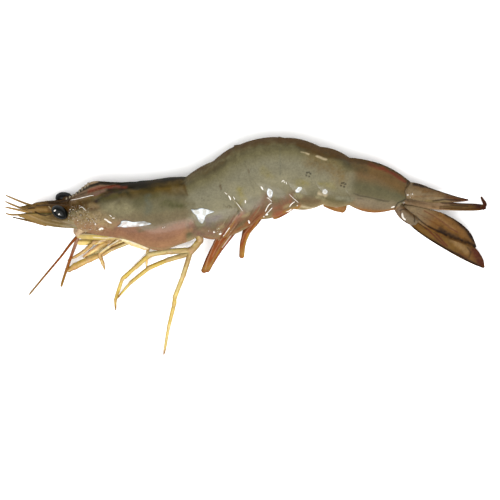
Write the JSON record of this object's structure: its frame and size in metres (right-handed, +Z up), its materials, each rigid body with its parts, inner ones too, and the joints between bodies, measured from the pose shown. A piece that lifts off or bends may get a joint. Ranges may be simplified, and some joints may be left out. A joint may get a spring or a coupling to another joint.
{
  "type": "raw whiteleg shrimp",
  "caption": "Whole raw whiteleg shrimp with head, shell and legs on, lying on its side with an arched tail.",
  "frame": {"origin": "centre of the underside of the part's bounding box, on the surface it lies on", "axes": "+X from the head towards the tail, +Y towards the back, +Z up, through the left flank"},
  "size_m": [0.1607, 0.0814, 0.0167],
  "materials": {
    "shell": "wet, translucent grey-olive shell over pale flesh, dark brown along the back and pink low on the head",
    "rostrum": "wet brown shell with pale tooth tips and a red stripe",
    "eye": "glossy black",
    "feeler": "wet tan to red-brown",
    "leg": "wet, translucent straw yellow, paler at the joints and brown at the tips",
    "swimmer": "wet orange-brown",
    "fan": "wet, translucent brown with olive fields and dark red-brown ribs and tips"
  },
  "bodies": {
    "root": {"shrimp": "shell"}
  },
  "joints": []
}
